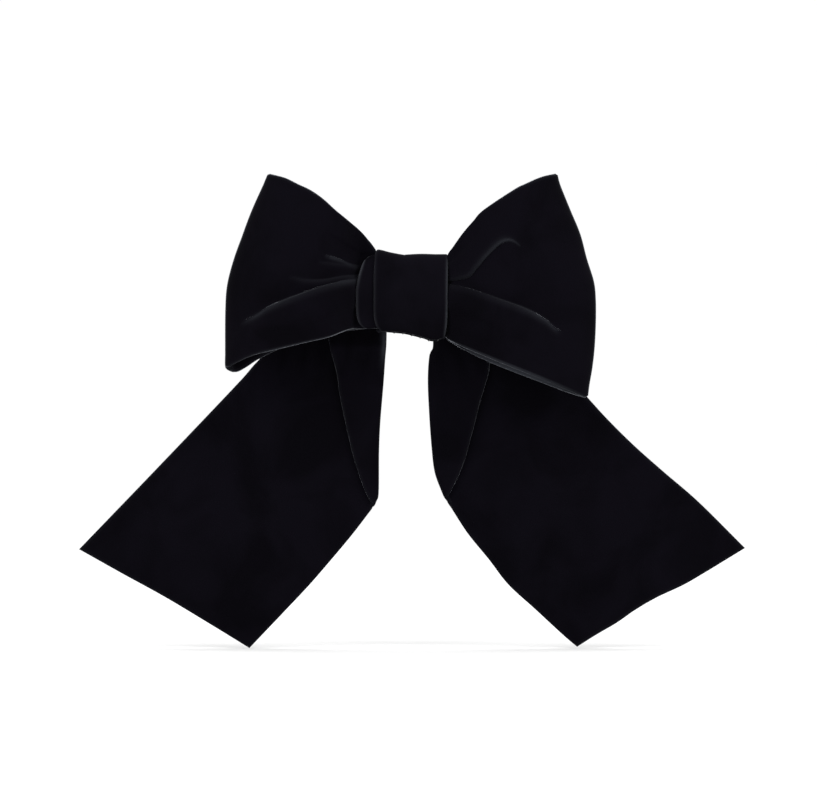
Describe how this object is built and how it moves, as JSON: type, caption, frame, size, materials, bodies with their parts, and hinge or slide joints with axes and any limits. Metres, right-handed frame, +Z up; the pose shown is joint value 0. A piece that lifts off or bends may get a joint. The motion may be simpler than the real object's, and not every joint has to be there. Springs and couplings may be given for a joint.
{
  "type": "hair bow",
  "caption": "Black velvet hair bow: looped ribbon gathered under a wrapped knot, long tails cut on the slant, on a hinged French barrette with a squeeze catch.",
  "frame": {"origin": "centre of the hair gap, between the tension spring and the closed clamp arm", "axes": "+X along the barrette, to the right of a viewer in front of the bow; +Y from the bow's front towards the wearer's head; +Z up as the bow is worn"},
  "size_m": [0.2656, 0.0448, 0.1893],
  "materials": {
    "velvet": "short cut pile, black",
    "thread": "twisted polyester, black",
    "felt": "pressed felt, black",
    "plated_steel": "bright nickel plate",
    "spring_steel": "satin"
  },
  "bodies": {
    "bow": {"loop_ribbon": "velvet", "gathering_thread": "thread", "knot_band": "velvet", "knot_stitches": "thread", "tail_left_top": "velvet", "tail_right_top": "velvet", "felt_pad": "felt", "mounting_stitches": "thread", "base_plate": "plated_steel", "hinge_bracket": "plated_steel", "hinge_rivet": "plated_steel", "hinge_pin": "plated_steel", "catch_base": "plated_steel", "catch_rivet": "plated_steel"},
    "clamp_arm": {"clamp_arm": "plated_steel"},
    "tension_spring": {"tension_spring": "spring_steel"},
    "catch_prong_upper": {"catch_prong_upper": "spring_steel"},
    "catch_prong_lower": {"catch_prong_lower": "spring_steel"},
    "tail_left": {"tail_left": "velvet"},
    "tail_right": {"tail_right": "velvet"}
  },
  "joints": [
    {"name": "arm_open", "type": "hinge", "parent": "bow", "child": "clamp_arm", "pos_m": [0.035, 0.0005, 0], "axis": [0, 0, -1], "range_deg": [0, 75]},
    {"name": "spring_flex", "type": "hinge", "parent": "bow", "child": "tension_spring", "pos_m": [0.029, -0.0037, 0], "axis": [0, 0, -1], "range_deg": [0, 6]},
    {"name": "prong_upper_squeeze", "type": "hinge", "parent": "bow", "child": "catch_prong_upper", "pos_m": [-0.03575, -0.0035, 0.0022], "axis": [-1, 0, 0], "range_deg": [0, 8], "stiffness_Nm_per_rad": 0.02},
    {"name": "prong_lower_squeeze", "type": "hinge", "parent": "bow", "child": "catch_prong_lower", "pos_m": [-0.03575, -0.0035, -0.0022], "axis": [1, 0, 0], "range_deg": [0, 8], "stiffness_Nm_per_rad": 0.02},
    {"name": "tail_left_swing", "type": "hinge", "parent": "bow", "child": "tail_left", "pos_m": [-0.03, -0.0079, -0.0125], "axis": [1, 0, 0], "range_deg": [0, 35]},
    {"name": "tail_right_swing", "type": "hinge", "parent": "bow", "child": "tail_right", "pos_m": [0.03, -0.0079, -0.0125], "axis": [1, 0, 0], "range_deg": [0, 35]}
  ],
  "couplings": [
    {"joint": "spring_flex", "follows": "arm_open", "ratio": 0.08}
  ]
}
